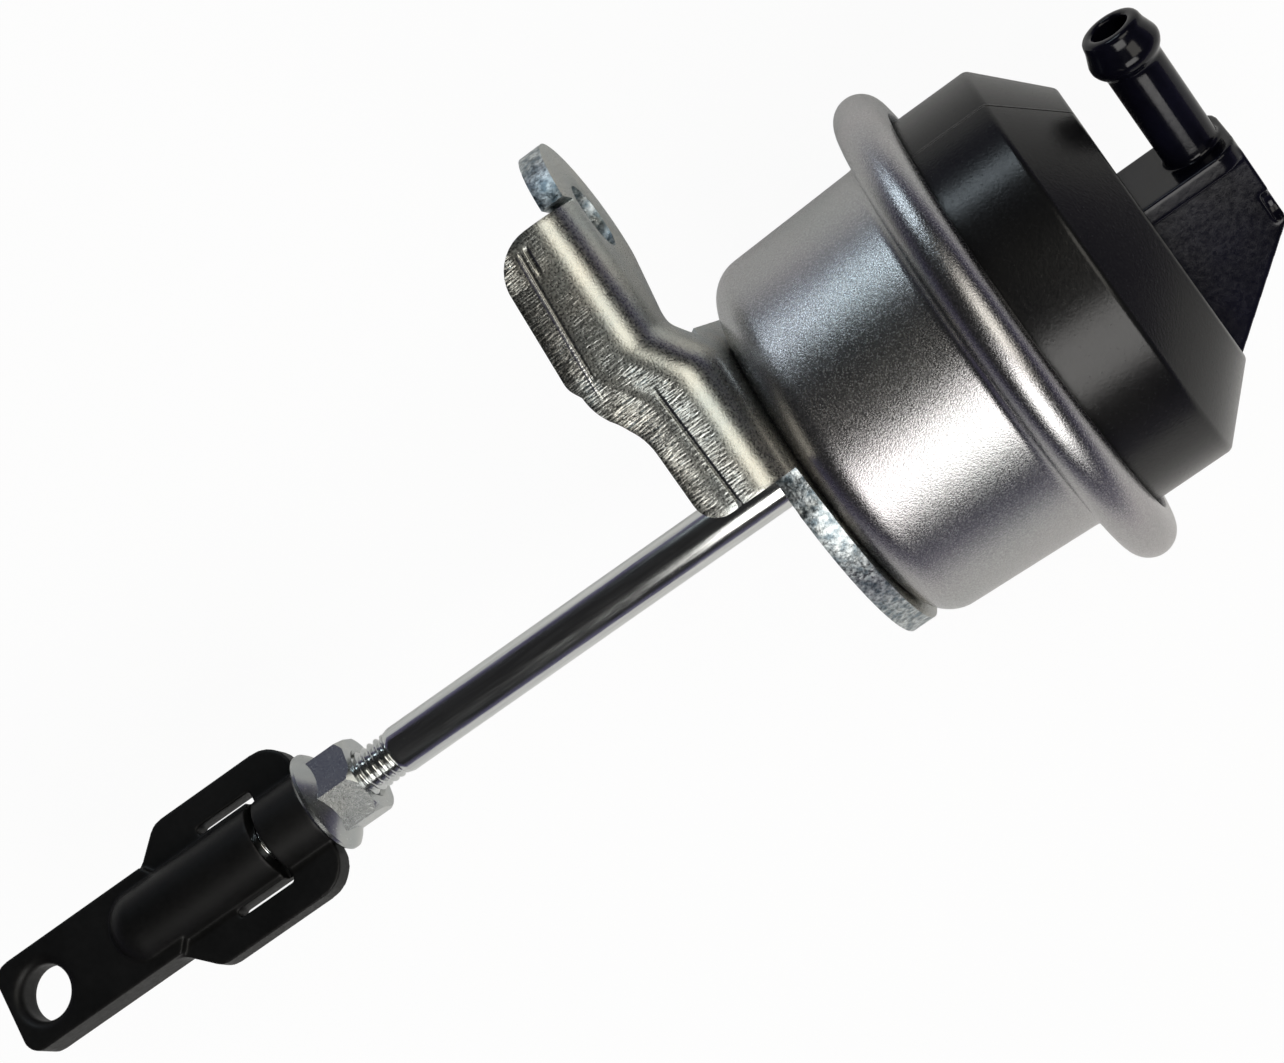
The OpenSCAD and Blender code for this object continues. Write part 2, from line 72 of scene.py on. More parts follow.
def white_share(tree, seen, mirrored):
    """How white a thing is: as the camera or glass sees it, and as metal mirrors it."""
    path = tree.nodes.new("ShaderNodeLightPath")
    shown = tree.nodes.new("ShaderNodeMath")
    shown.operation = "MAXIMUM"
    tree.links.new(path.outputs["Is Camera Ray"], shown.inputs[0])
    tree.links.new(path.outputs["Is Transmission Ray"], shown.inputs[1])
    share = tree.nodes.new("ShaderNodeMath")
    share.operation = "MULTIPLY"
    share.inputs[1].default_value = seen
    tree.links.new(shown.outputs[0], share.inputs[0])
    both = tree.nodes.new("ShaderNodeMath")
    both.operation = "MULTIPLY_ADD"
    both.inputs[1].default_value = mirrored
    tree.links.new(path.outputs["Is Glossy Ray"], both.inputs[0])
    tree.links.new(share.outputs[0], both.inputs[2])
    return both.outputs[0]


table_data = bpy.data.meshes.new("table")
table_mesh = bmesh.new()
bmesh.ops.create_grid(table_mesh, x_segments=1, y_segments=1, size=TABLE_HALF)
rotate_shape(table_mesh, -90, "X")
bmesh.ops.translate(table_mesh, verts=table_mesh.verts, vec=TABLE_PLACE)
table_mesh.to_mesh(table_data)
table_mesh.free()
table = bpy.data.objects.new("table", table_data)
bpy.context.collection.objects.link(table)

table_white = bpy.data.materials.new("table_white")
table_white.use_nodes = True
tree = table_white.node_tree
shader = tree.nodes["Principled BSDF"]
shader.inputs["Base Color"].default_value = (0.9, 0.9, 0.9, 1)
shader.inputs["Roughness"].default_value = 0.9
shader.inputs["Specular IOR Level"].default_value = 0.2
glow = tree.nodes.new("ShaderNodeEmission")
glow.inputs["Color"].default_value = (1, 1, 1, 1)
lit = tree.nodes.new("ShaderNodeMixShader")
tree.links.new(white_share(tree, 0.95, 0.1), lit.inputs[0])
tree.links.new(shader.outputs[0], lit.inputs[1])
tree.links.new(glow.outputs[0], lit.inputs[2])
under = tree.nodes.new("ShaderNodeNewGeometry")
clear = tree.nodes.new("ShaderNodeBsdfTransparent")
seen = tree.nodes.new("ShaderNodeMixShader")
tree.links.new(under.outputs["Backfacing"], seen.inputs[0])
tree.links.new(lit.outputs[0], seen.inputs[1])
tree.links.new(clear.outputs[0], seen.inputs[2])
tree.links.new(seen.outputs[0], tree.nodes["Material Output"].inputs["Surface"])
table_data.materials.append(table_white)

room = bpy.data.worlds.new("room")
bpy.context.scene.world = room
room.use_nodes = True
tree = room.node_tree
sky = tree.nodes["Background"]
direction = tree.nodes.new("ShaderNodeTexCoord")
parts = tree.nodes.new("ShaderNodeSeparateXYZ")
tree.links.new(direction.outputs["Generated"], parts.inputs[0])
height = tree.nodes.new("ShaderNodeMapRange")
height.inputs["From Min"].default_value = -0.2
height.inputs["From Max"].default_value = 1.0
tree.links.new(parts.outputs["Y"], height.inputs["Value"])
ramp = tree.nodes.new("ShaderNodeValToRGB")
ramp.color_ramp.elements[0].position = 0.05
ramp.color_ramp.elements[0].color = (0.14, 0.13, 0.20, 1)
ramp.color_ramp.elements[1].position = 0.42
ramp.color_ramp.elements[1].color = (0.008, 0.008, 0.009, 1)
dusk = ramp.color_ramp.elements.new(0.2)
dusk.color = (0.11, 0.10, 0.18, 1)
tree.links.new(height.outputs[0], ramp.inputs[0])
white = tree.nodes.new("ShaderNodeMix")
white.data_type = "RGBA"
white.inputs["B"].default_value = (1, 1, 1, 1)
tree.links.new(white_share(tree, 1.0, 0.015), white.inputs["Factor"])
tree.links.new(ramp.outputs["Color"], white.inputs["A"])
tree.links.new(white.outputs["Result"], sky.inputs["Color"])
sky.inputs["Strength"].default_value = 1.0


LIT_POINT = Vector((0, 0, 0.12))


def window(name, at, wide, tall, power, colour):
    """Area lamp that faces the middle of the can's floor."""
    lamp = bpy.data.lights.new(name, "AREA")
    lamp.shape = "RECTANGLE"
    lamp.size = wide
    lamp.size_y = tall
    lamp.energy = power
    lamp.color = colour
    holder = bpy.data.objects.new(name, lamp)
    bpy.context.collection.objects.link(holder)
    turn = (LIT_POINT - Vector(at)).to_track_quat("-Z", "Y").to_matrix().to_4x4()
    holder.matrix_world = Matrix.Translation(at) @ turn


window("window_left", (-0.42, 0.62, 0.13), 0.46, 0.48, 3.7, (1.0, 0.98, 0.95))
window("window_right", (0.73, 0.32, 0.12), 0.06, 0.36, 1.0, (0.8, 0.92, 1.0))
window("window_top", (0.06, 0.81, 0.53), 0.56, 0.5, 2.3, (1.0, 0.96, 0.86))

# ---------------------------------------------------------------- can
# Deep-drawn steel cup with its rim rolled over the cover's flange and the diaphragm. It is
# zinc-plated and passivated, which leaves a fine grain and a faint blue and purple cast.
CAN_Z = 122.0
RIM_Z = 145.6
RIM_TOP = 151.9
BUSH_R = 5.9
CAN_T = 1.0
FLOOR_X = 20.0
FLOOR_ROUND = 5.0
NECK_X = 27.2
NECK_ROUND = 1.6
RIM_R = 32.8
BEAD_R = 3.15
BEAD_X = RIM_R - BEAD_R


def arc(centre, radius, start, end, count=8):
    """Points of [radius, height] on an arc, angles in degrees."""
    return [(centre[0] + radius * math.cos(math.radians(start + (end - start) * i / count)),
             centre[1] + radius * math.sin(math.radians(start + (end - start) * i / count)))
            for i in range(count + 1)]


def turned(section, steps=192, closed=True):
    """Mesh of a section of (radius, height) points, spun about the rod's axis."""
    shape = bmesh.new()
    dots = [shape.verts.new((r, 0, z)) for r, z in section]
    lines = [shape.edges.new(pair) for pair in zip(dots, dots[1:])]
    if closed:
        lines.append(shape.edges.new((dots[-1], dots[0])))
    bmesh.ops.spin(shape, geom=dots + lines, cent=(0, 0, 0), axis=(0, 0, 1),
                   dvec=(0, 0, 0), angle=math.tau, steps=steps, use_merge=True)
    bmesh.ops.remove_doubles(shape, verts=shape.verts, dist=0.0005)
    bmesh.ops.dissolve_degenerate(shape, edges=shape.edges, dist=0.0005)
    bmesh.ops.recalc_face_normals(shape, faces=shape.faces)
    return shape


def piece(name, shape, body, replaced=(), angle=35, finish=None):
    """Object from a mesh in millimetres: scaled to metres, shaded, and set on its body."""
    bmesh.ops.scale(shape, vec=(0.001, 0.001, 0.001), verts=shape.verts)
    data = bpy.data.meshes.new(name)
    shape.to_mesh(data)
    shape.free()
    made = bpy.data.objects.new(name, data)
    bpy.context.collection.objects.link(made)
    data.shade_smooth()
    data.set_sharp_from_angle(angle=math.radians(angle))
    if finish:
        data.materials.append(finish)
    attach(made, body)
    if replaced:
        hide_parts(*replaced)
    return made


def grain_group():
    """Colour, roughness and relief of a finish: a fine grain over slow changes of tone."""
    group = bpy.data.node_groups.new("finish_grain", "ShaderNodeTree")
    for name, kind, value in (
        ("Vector", "NodeSocketVector", None),
        ("Tone A", "NodeSocketColor", (0.6, 0.6, 0.6, 1)),
        ("Tone B", "NodeSocketColor", (0.7, 0.7, 0.7, 1)),
        ("Tone Scale", "NodeSocketFloat", 40.0),
        ("Grain Scale", "NodeSocketFloat", 3000.0),
        ("Grain Shade", "NodeSocketFloat", 0.1),
        ("Rough Low", "NodeSocketFloat", 0.3),
        ("Rough High", "NodeSocketFloat", 0.4),
        ("Relief", "NodeSocketFloat", 0.3),
    ):
        made = group.interface.new_socket(name=name, in_out="INPUT", socket_type=kind)
        if value is not None:
            made.default_value = value
    group.interface.new_socket(name="Color", in_out="OUTPUT", socket_type="NodeSocketColor")
    group.interface.new_socket(name="Roughness", in_out="OUTPUT", socket_type="NodeSocketFloat")
    group.interface.new_socket(name="Normal", in_out="OUTPUT", socket_type="NodeSocketVector")
    node = group.nodes.new
    link = group.links.new
    source = node("NodeGroupInput")
    result = node("NodeGroupOutput")
    slow = node("ShaderNodeTexNoise")
    slow.inputs["Detail"].default_value = 4
    link(source.outputs["Vector"], slow.inputs["Vector"])
    link(source.outputs["Tone Scale"], slow.inputs["Scale"])
    fine = node("ShaderNodeTexNoise")
    fine.inputs["Detail"].default_value = 3
    fine.inputs["Roughness"].default_value = 0.65
    link(source.outputs["Vector"], fine.inputs["Vector"])
    link(source.outputs["Grain Scale"], fine.inputs["Scale"])
    wide = node("ShaderNodeMapRange")
    wide.inputs["From Min"].default_value = 0.35
    wide.inputs["From Max"].default_value = 0.65
    link(slow.outputs[0], wide.inputs["Value"])
    tone = node("ShaderNodeMix")
    tone.data_type = "RGBA"
    link(wide.outputs[0], tone.inputs["Factor"])
    link(source.outputs["Tone A"], tone.inputs["A"])
    link(source.outputs["Tone B"], tone.inputs["B"])
    speck = node("ShaderNodeMapRange")
    speck.inputs["From Min"].default_value = 0.42
    speck.inputs["From Max"].default_value = 0.56
    link(fine.outputs[0], speck.inputs["Value"])
    low = node("ShaderNodeMath")
    low.operation = "SUBTRACT"
    low.inputs[0].default_value = 1.0
    link(source.outputs["Grain Shade"], low.inputs[1])
    link(low.outputs[0], speck.inputs["To Min"])
    shade = node("ShaderNodeMix")
    shade.data_type = "RGBA"
    shade.blend_type = "MULTIPLY"
    shade.inputs["Factor"].default_value = 1.0
    link(tone.outputs["Result"], shade.inputs["A"])
    link(speck.outputs[0], shade.inputs["B"])
    link(shade.outputs["Result"], result.inputs["Color"])
    rough = node("ShaderNodeMapRange")
    rough.inputs["From Min"].default_value = 0.3
    rough.inputs["From Max"].default_value = 0.7
    link(fine.outputs[0], rough.inputs["Value"])
    link(source.outputs["Rough Low"], rough.inputs["To Min"])
    link(source.outputs["Rough High"], rough.inputs["To Max"])
    link(rough.outputs[0], result.inputs["Roughness"])
    relief = node("ShaderNodeBump")
    relief.inputs["Distance"].default_value = 0.00005
    link(source.outputs["Relief"], relief.inputs["Strength"])
    link(fine.outputs[0], relief.inputs["Height"])
    link(relief.outputs[0], result.inputs["Normal"])
    return group


finish_grain = grain_group()


def grained(name, tones, tone_scale, grain_scale, shade, rough, relief, metallic,
            stretch=(1, 1, 1), specular=0.35):
    """Material with the finish grain; stretch draws the pattern out along an axis."""
    made = bpy.data.materials.new(name)
    made.use_nodes = True
    tree = made.node_tree
    shader = tree.nodes["Principled BSDF"]
    shader.inputs["Metallic"].default_value = metallic
    if not metallic:
        shader.inputs["Specular IOR Level"].default_value = specular
    place = tree.nodes.new("ShaderNodeTexCoord")
    turn = tree.nodes.new("ShaderNodeMapping")
    turn.inputs["Scale"].default_value = stretch
    grain = tree.nodes.new("ShaderNodeGroup")
    grain.name = "grain"
    grain.node_tree = finish_grain
    grain.inputs["Tone A"].default_value = tones[0] + (1,)
    grain.inputs["Tone B"].default_value = tones[1] + (1,)
    grain.inputs["Tone Scale"].default_value = tone_scale
    grain.inputs["Grain Scale"].default_value = grain_scale
    grain.inputs["Grain Shade"].default_value = shade
    grain.inputs["Rough Low"].default_value = rough[0]
    grain.inputs["Rough High"].default_value = rough[1]
    grain.inputs["Relief"].default_value = relief
    tree.links.new(place.outputs["Object"], turn.inputs["Vector"])
    tree.links.new(turn.outputs[0], grain.inputs["Vector"])
    tree.links.new(grain.outputs["Color"], shader.inputs["Base Color"])
    tree.links.new(grain.outputs["Roughness"], shader.inputs["Roughness"])
    tree.links.new(grain.outputs["Normal"], shader.inputs["Normal"])
    return made


zinc_plate = grained("zinc_plate", ((0.45, 0.46, 0.46), (0.50, 0.48, 0.49)), 45, 5000,
                     0.24, (0.19, 0.3), 0.85, 1.0)
piece("can_drawn", turned(
    [(BUSH_R, CAN_Z)]
    + arc((FLOOR_X, CAN_Z + FLOOR_ROUND), FLOOR_ROUND, -90, 0, 12)
    + arc((NECK_X, RIM_Z - NECK_ROUND), NECK_ROUND, 180, 90, 8)
    + arc((BEAD_X, RIM_Z + BEAD_R), BEAD_R, -90, 90, 24)
    + [(28.5, RIM_TOP), (28.3, RIM_TOP - 0.3), (28.3, RIM_TOP - 0.9)]
    + arc((BEAD_X, RIM_Z + BEAD_R), BEAD_R - CAN_T, 90, -90, 16)
    + arc((NECK_X, RIM_Z - NECK_ROUND), NECK_ROUND + CAN_T, 90, 180, 8)
    + arc((FLOOR_X, CAN_Z + FLOOR_ROUND), FLOOR_ROUND - CAN_T, 0, -90, 8)
    + [(BUSH_R, CAN_Z + CAN_T)]
), "housing", ("can",), finish=zinc_plate)

# ---------------------------------------------------------------- bracket
# One 3 mm steel blank, cut out flat, stepped down towards the eye and folded along its near
# side into a stiffening lip. It is zinc-plated after forming. How it is fixed under the can
# doesn't show in the photo.
SHEET = 3.0
FOLD_Y = 22.8
FOLD_R = 5.0
LIP_FROM = 0.8
LIP_TO = 39.9
LIP_FLAT = FOLD_Y + FOLD_R * math.pi / 2
HOLE = (37.7, 17.4)
EAR = (37.7, 17.65)
EAR_R = 10.15
PLATE_R = 23.8
PLATE_FLAT = (20.8, 11.567)
HOLE_R = 4.2
JOG = 3.4
JOG_RUN = 5.8
JOG_FROM = 16.8
JOG_TO = JOG_FROM + JOG_RUN
JOG_IN = 3.0
JOG_OUT = JOG_IN + SHEET
EAR_Z = CAN_Z - JOG
JOG_A = math.degrees(math.atan2(JOG, JOG_RUN))
JOG_HALF = math.tan(math.radians(JOG_A / 2))
jog_line = (
    [(-60, CAN_Z)]
    + arc((JOG_FROM - JOG_OUT * JOG_HALF, CAN_Z - JOG_OUT), JOG_OUT, 90, 90 - JOG_A, 6)
    + arc((JOG_TO + JOG_IN * JOG_HALF, EAR_Z + JOG_IN), JOG_IN, 270 - JOG_A, 270, 6)
    + [(90, EAR_Z)]
)


def jog_height(x):
    """Height of the sheet's can side above the eye, at a distance out from the rod."""
    for (x0, z0), (x1, z1) in zip(jog_line, jog_line[1:]):
        if x <= x1:
            return z0 + (z1 - z0) * (x - x0) / (x1 - x0)
    return jog_line[-1][1]


# Free edge of the lip in side view, then rolled out flat into the blank
LIP_H = 11.5
EAR_LIP_H = 11.4
HEAD_Z = EAR_Z - EAR_LIP_H
FOOT_Z = CAN_Z - LIP_H
EDGE_A = math.degrees(math.atan2(FOOT_Z - HEAD_Z, JOG_RUN))
EDGE_HALF = math.tan(math.radians(EDGE_A / 2))
EDGE_FROM = 14.6 - LIP_H * JOG_HALF / 2
EDGE_TO = EDGE_FROM + JOG_RUN
SWEEP_R = 8.0
HEAD_R = 5.5
FOOT_R = 3.0
NICK = 0.9
NICK_Z = 114.95
lip_side = (
    arc((LIP_TO - HEAD_R, HEAD_Z + HEAD_R), HEAD_R, 0, -90, 10)
    + arc((EDGE_TO + SWEEP_R * EDGE_HALF, HEAD_Z + SWEEP_R), SWEEP_R, 270, 270 - EDGE_A, 6)
    + arc((EDGE_FROM - SWEEP_R * EDGE_HALF, FOOT_Z - SWEEP_R), SWEEP_R, 90 - EDGE_A, 90, 6)
    + arc((LIP_FROM + FOOT_R, FOOT_Z + FOOT_R), FOOT_R, -90, -180, 8)
    + [(LIP_FROM, NICK_Z - 0.45), (LIP_FROM + NICK, NICK_Z), (LIP_FROM, NICK_Z + 0.35)]
)
lip_flat = [(x, LIP_FLAT + jog_height(x) - FOLD_R - z) for x, z in lip_side]

# Blank: round plate with a straight cut, neck, and an ear that a slit frees from the lip
SLIT = 0.3
SLIT_Y = FOLD_Y - 0.4
ear_start = math.degrees(math.acos((LIP_TO + SLIT - EAR[0]) / EAR_R))
plate_from = math.degrees(math.acos(LIP_FROM / PLATE_R))
plate_to = math.degrees(math.atan2(-PLATE_FLAT[1], PLATE_FLAT[0]))
outline = (
    lip_flat
    + [(LIP_FROM, math.sqrt(PLATE_R ** 2 - LIP_FROM ** 2) + 0.2)]
    + arc((0, 0), PLATE_R, plate_from + 1, 360 + plate_to, 96)
    + [PLATE_FLAT]
    + arc((22.8, 14.8), 3, 180, 62, 8)
    + [(EAR[0] - EAR_R * 0.6, EAR[1] - EAR_R * 0.79)]
    + arc(EAR, EAR_R, -120, ear_start - 2, 48)
    + [(LIP_TO + SLIT, SLIT_Y), (LIP_TO, SLIT_Y)]
)


def circle(centre, radius, count=48):
    """Points round a circle, the first one not repeated."""
    return arc(centre, radius, 0, 360 - 360 / count, count - 1)


def divide(shape, place, across, **ways):
    """Cut a mesh's faces along a plane."""
    return bmesh.ops.bisect_plane(
        shape, geom=shape.verts[:] + shape.edges[:] + shape.faces[:],
        plane_co=place, plane_no=across, dist=0.0001, **ways)


blank = bmesh.new()
edges = []
for loop in (outline, circle((0, 0), BUSH_R), circle(HOLE, HOLE_R)):
    dots = [blank.verts.new((x, y, 0)) for x, y in loop]
    edges += [blank.edges.new((dots[i - 1], dots[i])) for i in range(len(dots))]
bmesh.ops.triangle_fill(blank, use_beauty=True, use_dissolve=False, edges=edges)
for x in [p[0] for p in jog_line[1:-1]] + [LIP_FROM + 2 * i for i in range(20)]:
    divide(blank, (x, 0, 0), (1, 0, 0))
for i in range(13):
    divide(blank, (0, FOLD_Y + (LIP_FLAT - FOLD_Y) * i / 12, 0), (0, 1, 0))
for dot in blank.verts:
    x, w, _ = dot.co
    if w <= FOLD_Y or x > LIP_TO + 0.1:
        y, drop = w, 0.0
    elif w <= LIP_FLAT:
        a = (w - FOLD_Y) / FOLD_R
        y, drop = FOLD_Y + FOLD_R * math.sin(a), FOLD_R * (1 - math.cos(a))
    else:
        y, drop = FOLD_Y + FOLD_R, FOLD_R + w - LIP_FLAT
    dot.co = (x, y, jog_height(x) - drop)
bmesh.ops.remove_doubles(blank, verts=blank.verts, dist=0.001)
bmesh.ops.recalc_face_normals(blank, faces=blank.faces)
blank.faces.ensure_lookup_table()
if sum(f.normal.z * f.calc_area() for f in blank.faces) < 0:
    bmesh.ops.reverse_faces(blank, faces=blank.faces)


def measures(tree):
    """The two ways in which a material measures places: a Math node and a soft Map Range."""
    def maths(way, a, b=None):
        step = tree.nodes.new("ShaderNodeMath")
        step.operation = way
        for socket, value in zip(step.inputs, (a, b)):
            if isinstance(value, (int, float)):
                socket.default_value = value
            elif value is not None:
                tree.links.new(value, socket)
        return step.outputs[0]

    def ranged(value, low, high, to_low, to_high):
        step = tree.nodes.new("ShaderNodeMapRange")
        step.interpolation_type = "SMOOTHSTEP"
        for name, number in (("From Min", low), ("From Max", high), ("To Min", to_low),
                             ("To Max", to_high)):
            step.inputs[name].default_value = number
        tree.links.new(value, step.inputs["Value"])
        return step.outputs[0]

    return maths, ranged


def press_marks_and_painted_light(material):
    """Marks of the folding tool on the lip: strokes down it, a ridge and grooves, with painted
    shade in the grooves and at the edge, and a painted highlight on the ridge.
    """
    tree = material.node_tree
    node = tree.nodes.new
    link = tree.links.new
    maths, ranged = measures(tree)
    place = node("ShaderNodeTexCoord")
    axes = node("ShaderNodeSeparateXYZ")
    link(place.outputs["Object"], axes.inputs[0])
    x, y, z = axes.outputs

    # Depth below the sheet's can side, which steps down towards the ear
    step_down = ranged(x, 0.0147, 0.0227, 0.0, 0.0034)
    depth = maths("SUBTRACT", maths("SUBTRACT", 0.122, step_down), z)
    on_lip = ranged(y, 0.0262, 0.0276, 0.0, 1.0)

    # Strokes: a noise drawn out down the lip, in patches, above and below the creases
    stretch = node("ShaderNodeMapping")
    stretch.inputs["Scale"].default_value = (1.0, 0.2, 0.13)
    link(place.outputs["Object"], stretch.inputs["Vector"])
    strokes = node("ShaderNodeTexNoise")
    strokes.inputs["Scale"].default_value = 3600
    strokes.inputs["Detail"].default_value = 2
    link(stretch.outputs[0], strokes.inputs["Vector"])
    patches = node("ShaderNodeTexNoise")
    patches.inputs["Scale"].default_value = 260
    link(place.outputs["Object"], patches.inputs["Vector"])
    upper = maths("MULTIPLY", maths("MULTIPLY", ranged(depth, 0.0044, 0.0056, 0.0, 1.0),
                                    ranged(depth, 0.0072, 0.0082, 1.0, 0.15)),
                  ranged(x, 0.018, 0.024, 1.0, 0.3))
    lower = ranged(depth, 0.0084, 0.0094, 0.0, 1.0)
    where = maths("MULTIPLY", maths("MAXIMUM", upper, lower),
                  ranged(patches.outputs[0], 0.35, 0.55, 0.55, 1.0))
    marked = maths("MULTIPLY", maths("MULTIPLY", where, on_lip),
                   maths("SUBTRACT", strokes.outputs[0], 0.5))

    # Ridge along the ear's part, with a groove on its can side; the colour also carries a
    # painted highlight along the ridge
    bright_line = maths("SUBTRACT", z, maths("ADD", 0.1073, maths("MULTIPLY", x, 0.083)))
    ridge_end = ranged(x, 0.037, 0.0385, 1.0, 0.0)
    ridge = maths("MULTIPLY", ranged(maths("ABSOLUTE", bright_line), 0.00008, 0.00026, 1.0, 0.0),
                  maths("MULTIPLY", ranged(x, 0.019, 0.022, 0.0, 1.0), ridge_end))
    beside = maths("MULTIPLY", ranged(maths("ABSOLUTE", maths("SUBTRACT", bright_line, 0.0004)),
                                      0.00005, 0.0003, 0.5, 0.0),
                   maths("MULTIPLY", ranged(x, 0.02, 0.024, 0.0, 1.0), ridge_end))

    # Groove along the plate's part, and a short one near the tip
    dark_line = maths("SUBTRACT", z, maths("SUBTRACT", 0.1150, maths("MULTIPLY", x, 0.03)))
    groove = maths("MULTIPLY", ranged(maths("ABSOLUTE", dark_line), 0.0, 0.00035, 1.0, 0.0),
                   ranged(x, 0.015, 0.018, 1.0, 0.0))
    short_line = maths("SUBTRACT", bright_line, 0.0013)
    short = maths("MULTIPLY", ranged(maths("ABSOLUTE", short_line), 0.0001, 0.0004, 1.0, 0.0),
                  maths("MULTIPLY", ranged(x, 0.0345, 0.036, 0.0, 1.0),
                        ranged(x, 0.0378, 0.0386, 1.0, 0.0)))
    grooves = maths("MAXIMUM", groove, maths("MAXIMUM", beside, short))
    lines = maths("MULTIPLY", maths("SUBTRACT", maths("MULTIPLY", ridge, 1.4),
                                    maths("MULTIPLY", grooves, 1.6)), on_lip)

    # Relief of all the marks, over the finish grain
    height = maths("ADD", maths("MULTIPLY", marked, 2.6), lines)
    relief = node("ShaderNodeBump")
    relief.inputs["Distance"].default_value = 0.00012
    relief.inputs["Strength"].default_value = 0.8
    link(height, relief.inputs["Height"])
    link(tree.nodes["grain"].outputs["Normal"], relief.inputs["Normal"])
    link(relief.outputs[0], tree.nodes["Principled BSDF"].inputs["Normal"])

    # Painted shade: colour darkened in the grooves, along the strokes and at the rolled free
    # edge; painted highlight: colour lightened along the ridge
    edge_z = maths("SUBTRACT", 0.1105, ranged(x, 0.0105, 0.0215, 0.0, 0.0033))
    rolled = ranged(maths("SUBTRACT", z, edge_z), 0.0003, 0.0009, 0.8, 0.0)
    scored = ranged(marked, 0.02, 0.12, 0.0, 0.6)
    painted_shade = maths("MULTIPLY", maths("MAXIMUM", maths("MAXIMUM", grooves, rolled), scored),
                 maths("MULTIPLY", on_lip, 0.8))
    # Painted shade mixed into the colour, towards near black
    shade = node("ShaderNodeMix")
    shade.data_type = "RGBA"
    shade.inputs["B"].default_value = (0.05, 0.05, 0.045, 1)
    link(painted_shade, shade.inputs["Factor"])
    link(tree.nodes["grain"].outputs["Color"], shade.inputs["A"])
    # Painted highlight: the colour is lightened to near white along the ridge
    painted_highlight = node("ShaderNodeMix")
    painted_highlight.data_type = "RGBA"
    painted_highlight.inputs["B"].default_value = (0.95, 0.95, 0.9, 1)
    link(maths("MULTIPLY", ridge, on_lip), painted_highlight.inputs["Factor"])
    link(shade.outputs["Result"], painted_highlight.inputs["A"])
    link(painted_highlight.outputs["Result"], tree.nodes["Principled BSDF"].inputs["Base Color"])


bracket_plate = grained("bracket_plate", ((0.42, 0.45, 0.44), (0.54, 0.53, 0.48)), 120, 3600,
                        0.25, (0.2, 0.38), 0.7, 1.0)
press_marks_and_painted_light(bracket_plate)
sheared_edge = grained("sheared_edge", ((0.2, 0.25, 0.28), (0.74, 0.78, 0.78)), 1000, 2400,
                       0.5, (0.25, 0.5), 1.0, 1.0)


def rounded(made, width, segments, angle):
    """Bevel, width in metres, on the edges sharper than an angle in degrees."""
    rounding = made.modifiers.new("edges", "BEVEL")
    rounding.width = width
    rounding.segments = segments
    rounding.limit_method = "ANGLE"
    rounding.angle_limit = math.radians(angle)


bracket = piece("bracket_folded", blank, "housing", ("bracket",), 180,
                bracket_plate)
bracket.data.materials.append(sheared_edge)
wall = bracket.modifiers.new("sheet", "SOLIDIFY")
wall.thickness = SHEET / 1000
wall.offset = -1
wall.use_even_offset = True
wall.material_offset_rim = 1
rounded(bracket, 0.0003, 2, 50)

# ---------------------------------------------------------------- cover
# Black glass-filled plastic moulding held in the rolled rim. Its hose nipple, the block
# behind it and the gusset that carries them are one with it.
black_plastic = grained("black_plastic", ((0.004, 0.004, 0.005), (0.008, 0.008, 0.008)), 60,
                        3000, 0.1, (0.2, 0.28), 0.4, 0.0, specular=0.3)


def parting_line(material):
    """Fine raised line that the two halves of the mould leave along the cover."""
    tree = material.node_tree
    maths, ranged = measures(tree)
    place = tree.nodes.new("ShaderNodeTexCoord")
    axes = tree.nodes.new("ShaderNodeSeparateXYZ")
    tree.links.new(place.outputs["Object"], axes.inputs[0])
    off = maths("SUBTRACT", maths("MULTIPLY", axes.outputs[0], 0.595),
                maths("MULTIPLY", axes.outputs[1], 0.804))
    relief = tree.nodes.new("ShaderNodeBump")
    relief.inputs["Distance"].default_value = 0.0003
    tree.links.new(ranged(maths("ABSOLUTE", off), 0.00006, 0.00025, 1.0, 0.0),
                   relief.inputs["Height"])
    tree.links.new(tree.nodes["grain"].outputs["Normal"], relief.inputs["Normal"])
    tree.links.new(relief.outputs[0], tree.nodes["Principled BSDF"].inputs["Normal"])


parting_line(black_plastic)
TOP_Z = 169.4
ROOF_T = 2.2
COVER_X = 26.0
COVER_ROUND = 1.2
COVER_Z = 161.4
COVER_IN_R = 25.0
piece("cover_dome", turned(
    [(0, TOP_Z - ROOF_T), (17.4, TOP_Z - ROOF_T), (COVER_IN_R, COVER_Z), (COVER_IN_R, 149)]
    + arc((BEAD_X, RIM_Z + BEAD_R), 2.05, 0, 90, 6)
    + [(COVER_X + COVER_ROUND, 150.85)]
    + arc((COVER_X, COVER_Z), COVER_ROUND, 0, 45, 6)
    + arc((18.8, TOP_Z - COVER_ROUND), COVER_ROUND, 45, 90, 6)
    + [(0, TOP_Z)]
), "housing", ("cover",), finish=black_plastic)

PORT_TURN = 26
NIPPLE_Z = TOP_Z + 8.6
TUBE_R = 3.55
BARB_R = 4.5
NIPPLE_BORE_R = 2.3
PORT_FOOT = TOP_Z - 0.8
BLOCK_TOP = TOP_Z + 11.6


def extruded(outline, low, high, axis):
    """Prism of an outline; axis says which way it is drawn out: X or Y."""
    shape = bmesh.new()
    spots = [(low, a, b) if axis == "X" else (a, low, b) for a, b in outline]
    face = shape.faces.new([shape.verts.new(spot) for spot in spots])
    grown = bmesh.ops.extrude_face_region(shape, geom=[face])
    moved = [g for g in grown["geom"] if isinstance(g, bmesh.types.BMVert)]
    step = (high - low, 0, 0) if axis == "X" else (0, high - low, 0)
    bmesh.ops.translate(shape, verts=moved, vec=step)
    bmesh.ops.recalc_face_normals(shape, faces=shape.faces)
    return shape


def solid(name, shape):
    """Loose helper solid, in millimetres, for a cut or a join."""
    data = bpy.data.meshes.new(name)
    shape.to_mesh(data)
    shape.free()
    made = bpy.data.objects.new(name, data)
    bpy.context.collection.objects.link(made)
    return made


